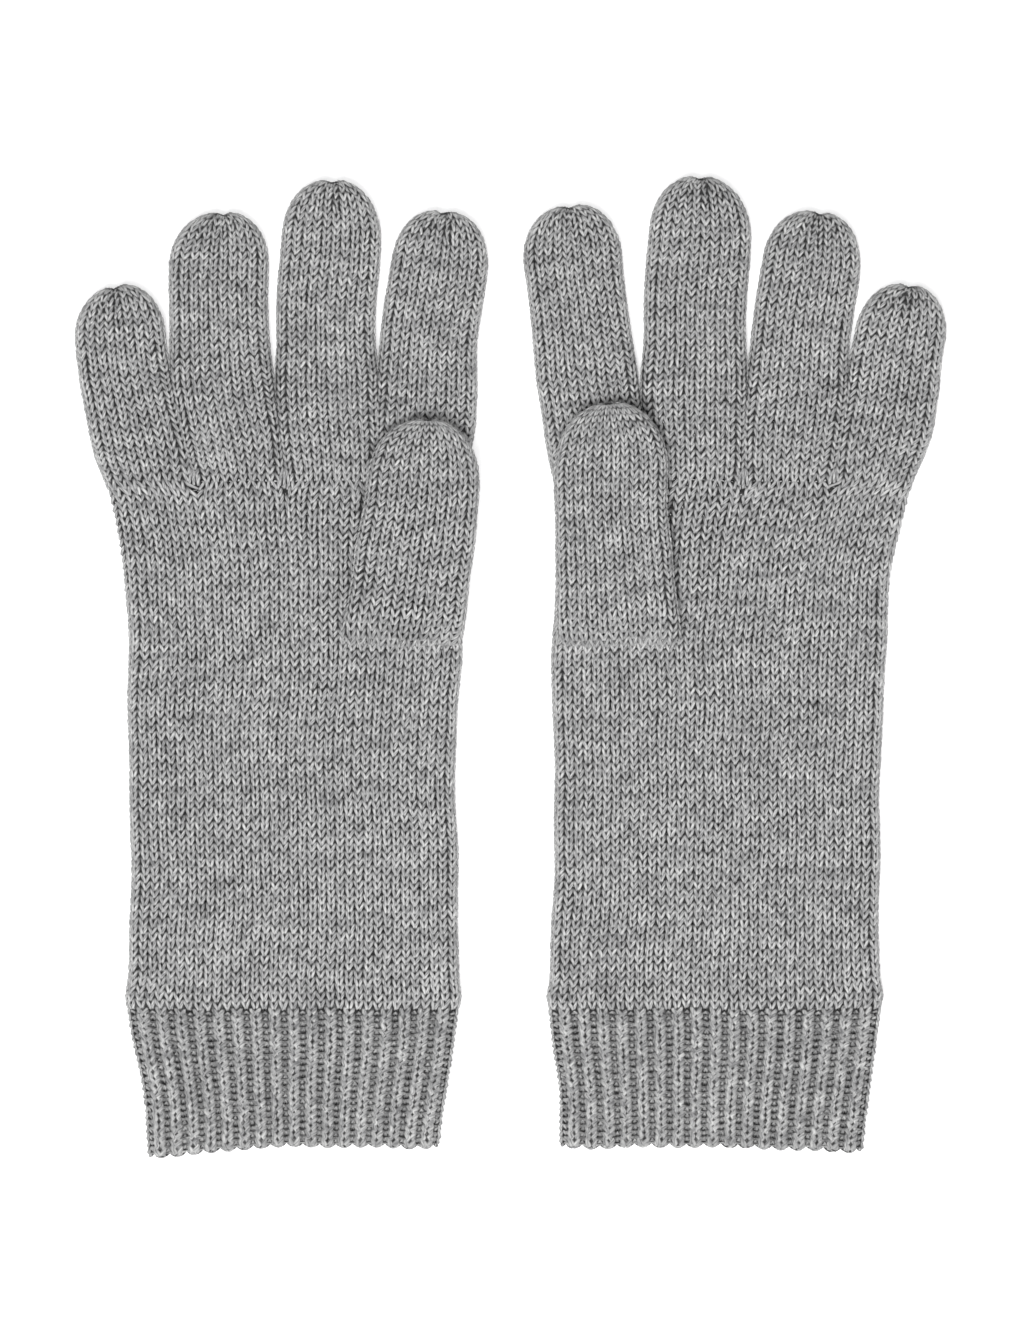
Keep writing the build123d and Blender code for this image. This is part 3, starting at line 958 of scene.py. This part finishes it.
def fibre_patches(tree, length, around):
    """Longer patches of lighter and darker fibres."""
    stretched = maths(tree, "MULTIPLY", length, PATCH_STRETCH)
    across = maths(tree, "MULTIPLY", around, PATCHES_AROUND)
    return noise(tree, stretched, across, detail=1.0, roughness=0.5)


def ply_grooves(tree, length, around):
    """1 in the grooves between the plies that are twisted into the yarn, 0 on their backs."""
    turn = weighted(tree, (around, PLIES), (length, PLY_TWIST))
    across = maths(tree, "PINGPONG", turn, 0.5)
    return map_range(tree, across, (PLY_GROOVE, 0.0), (0.0, 1.0), smooth=True)


def yarn_material(name, colours):
    """Heather yarn: light and dark fibres twisted together, with painted shade where it lies deep and
    painted light at its edges.
    """
    material = bpy.data.materials.new(name)
    material.use_nodes = True
    tree = material.node_tree
    shader = tree.nodes["Principled BSDF"]
    yarn = node(tree, "ShaderNodeUVMap", uv_map="Yarn").outputs["UV"]
    length, around, _ = node(tree, "ShaderNodeSeparateXYZ", {0: yarn}).outputs
    fibres = fibre_grain(tree, length, around)
    patches = fibre_patches(tree, length, around)
    ply = ply_grooves(tree, length, around)
    mixed = weighted(
        tree,
        (fibres, FIBRE_SHARE),
        (patches, PATCH_SHARE),
        (attribute(tree, "yarn_shade"), SHADE_SHARE),
        (ply, -PLY_GROOVE_PAINTED_SHADE),
    )
    colour = ramp(tree, mixed, list(zip(COLOUR_STOPS, colours)))
    # Painted light and shade: the colour is multiplied by a factor from the yarn's painted light level.
    light = map_range(
        tree, attribute(tree, "yarn_lift"), (DARK_LIFT, BRIGHT_LIFT), (LEAST_LIGHT, 1.0), smooth=True
    )
    mix = {0: 1.0, 6: colour, 7: light}  # the share, and the two colours
    lit = node(tree, "ShaderNodeMix", mix, data_type="RGBA", blend_type="MULTIPLY").outputs[2]
    height = weighted(tree, (fibres, FIBRE_HEIGHT), (ply, -PLY_HEIGHT))
    bump = {"Height": height, "Strength": BUMP_STRENGTH, "Distance": BUMP_DISTANCE * MM}
    tree.links.new(lit, shader.inputs["Base Color"])
    tree.links.new(map_range(tree, fibres, (0.0, 1.0), YARN_ROUGHNESS), shader.inputs["Roughness"])
    tree.links.new(node(tree, "ShaderNodeBump", bump).outputs[0], shader.inputs["Normal"])
    shader.inputs["Sheen Weight"].default_value = SHEEN
    shader.inputs["Sheen Roughness"].default_value = SHEEN_ROUGHNESS
    shader.inputs["Specular IOR Level"].default_value = SPECULAR
    return material


# The gloves


def bend_across(piece):
    """Bakes a piece's transform into its mesh."""
    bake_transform(piece)


def course_at(tube, y):
    """The course whose middle lies at a Y, on the part of a digit before its dimple."""
    before = slice(-DIMPLE_STATIONS)
    return int(np.interp(y, tube.centre[before, 1], tube.course[before]))


def last_course(tube):
    """The number of courses of a digit's tube that has been extended."""
    return round(tube.course[-1] - LEAD_COURSES)


def add_fork_ties(glove, material):
    """Three turns of yarn bind the knit together in each fork between two fingers."""
    rings = []
    for finger in glove.fingers[:-1]:
        for turn in FORK_TURNS:
            place = (finger.root[1] + turn * FORK_TIE_PITCH, ROOT_Y + FORK_TIE_RISE, MIDDLE_Z)
            rings.append((place, (-FORK_TIE_FAN * turn, FORK_TIE_LENGTH, 0), (0, 0, FORK_TIE_HEIGHT)))
    ties = tie_piece(f"{glove.name}_fork_ties", rings, material)
    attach(ties, f"{glove.name}_hand")
    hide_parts(f"{glove.name}_fork_stitches")


def add_closing_tie(glove, digit, tube, material, body):
    """The two turns of yarn that draw up the tip of a finger."""
    direction = unit(np.array([*np.subtract(digit.tip, digit.knuckle), 0.0]))
    side = np.array([direction[1], -direction[0], 0.0]) * CLOSING_WIDTH
    up = np.array([0, 0, CLOSING_HEIGHT])
    outer = tube.centre[-1] - direction * TIE_RADIUS
    inner = outer - direction * TIE_RADIUS * CLOSING_STEP
    rings = [(outer, side, up), (inner, side * CLOSING_INNER_WIDTH, up * CLOSING_INNER_HEIGHT)]
    tie = tie_piece(f"{glove.name}_{digit.name}_closing_tie", rings, material)
    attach(tie, body)
    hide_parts(f"{glove.name}_{digit.name}_closing_yarn")


def build_hand(glove, tube, plain, rib):
    """The hand in panels from the wrist to the knuckles, and the cuff."""
    name, body = glove.name, f"{glove.name}_hand"
    cuts = [round(HAND_COURSES * i / len(HAND_PANELS)) for i in range(len(HAND_PANELS) + 1)]
    wrist, *others = [
        knit_piece(f"{name}_{part}_knit", tube, first, last, plain)
        for part, first, last in zip(HAND_PANELS, cuts, cuts[1:])
    ]
    cuff = knit_piece(f"{name}_cuff_knit", tube, -CUFF_COURSES, 0, rib, ribbed=True)
    for panel in others:
        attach(panel, body)
    for piece in (wrist, cuff):
        bend_across(piece)
    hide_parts(f"{name}_hand_tube")
    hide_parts(f"{name}_cuff_rib", f"{name}_cuff_elastic")


def knit_digit(glove, digit, tube, split, material):
    """The lower part of a digit and its tip."""
    name = f"{glove.name}_{digit.name}"
    lower = knit_piece(f"{name}_lower_knit", tube, 0, split, material)
    upper = knit_piece(f"{name}_tip_knit", tube, split, last_course(tube), material)
    return lower, upper


def build_finger(glove, finger, plain):
    name = f"{glove.name}_{finger.name}"
    tube = finger_tube(finger)
    tube.extend()
    knuckle, tip = np.array(finger.knuckle), np.array(finger.tip)
    end_knuckle = knuckle + (tip - knuckle) * MIDDLE_SHARE
    split = course_at(tube, (knuckle[1] + KNUCKLE_REACH + end_knuckle[1] - END_KNUCKLE_REACH) / 2)
    lower, upper = knit_digit(glove, finger, tube, split, plain)
    bend_across(lower)
    bend_across(upper)
    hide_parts(f"{name}_base", f"{name}_middle")
    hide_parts(f"{name}_tip")
    add_closing_tie(glove, finger, tube, plain, f"{name}_tip")


def build_thumb(glove, hand, plain):
    """The thumb in a lower part and a tip, and the tie that draws up its end."""
    thumb, name = glove.thumb, f"{glove.name}_thumb"
    tube = thumb_tube(thumb, hand)
    tube.extend()
    root = (sum(thumb.root) / 2, float(course_y(THUMB_ROOT_COURSE)))
    split = course_at(tube, (root[1] + 2 * THUMB_ROOT_REACH + thumb.knuckle[1]) / 2)
    lower, upper = knit_digit(glove, thumb, tube, split, plain)
    bend_across(lower)
    bend_across(upper)
    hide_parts(f"{name}_base")
    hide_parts(f"{name}_tip")
    add_closing_tie(glove, thumb, tube, plain, f"{name}_upper")


def build_glove(glove, plain, rib):
    hand = hand_tube(glove)
    hand.extend()
    build_hand(glove, hand, plain, rib)
    add_fork_ties(glove, plain)
    for finger in glove.fingers:
        build_finger(glove, finger, plain)
    build_thumb(glove, hand, plain)


# The stage


def add_floor():
    bpy.ops.mesh.primitive_plane_add(size=FLOOR_SIZE)
    floor = bpy.context.object
    floor.name = "floor"
    material = bpy.data.materials.new("floor")
    material.use_nodes = True
    shader = material.node_tree.nodes["Principled BSDF"]
    shader.inputs["Base Color"].default_value = FLOOR_COLOUR
    shader.inputs["Roughness"].default_value = FLOOR_ROUGHNESS
    shader.inputs["Emission Color"].default_value = WHITE
    shader.inputs["Emission Strength"].default_value = FLOOR_GLOW
    floor.data.materials.append(material)


def add_area(name, place, size, power):
    """A square lamp that faces the middle of the pair."""
    light = bpy.data.lights.new(name, "AREA")
    light.size = size
    light.energy = power
    lamp = bpy.data.objects.new(name, light)
    lamp.location = place
    lamp.rotation_mode = "QUATERNION"
    lamp.rotation_quaternion = (-Vector(place)).to_track_quat("-Z", "Y")
    bpy.context.scene.collection.objects.link(lamp)


def add_world():
    """White where the camera looks past the floor, and a dim even light for everything else."""
    world = bpy.data.worlds.new("world")
    world.use_nodes = True
    tree = world.node_tree
    background = tree.nodes["Background"]
    background.inputs["Color"].default_value = WHITE
    seen = node(tree, "ShaderNodeLightPath").outputs["Is Camera Ray"]
    strength = map_range(tree, seen, (0.0, 1.0), (WORLD_LIGHT, WORLD_WHITE))
    tree.links.new(strength, background.inputs["Strength"])
    bpy.context.scene.world = world


def add_camera():
    data = bpy.data.cameras.new("camera")
    data.sensor_width = SENSOR
    data.lens = SENSOR * CAMERA_HEIGHT / PICTURE_HEIGHT
    data.clip_end = CAMERA_RANGE
    camera = bpy.data.objects.new("camera", data)
    camera.location = (0, CAMERA_Y, CAMERA_HEIGHT)
    bpy.context.scene.collection.objects.link(camera)
    bpy.context.scene.camera = camera
    bpy.context.scene.view_settings.view_transform = "Standard"


def main():
    plain = yarn_material("plain_knit_yarn", PLAIN_COLOURS)
    rib = yarn_material("rib_knit_yarn", SHADED_RIB_COLOURS)
    for glove in GLOVES:
        build_glove(glove, plain, rib)
    add_floor()
    add_area("key", *KEY_LIGHT)
    add_area("fill", *FILL_LIGHT)
    add_world()
    add_camera()


main()
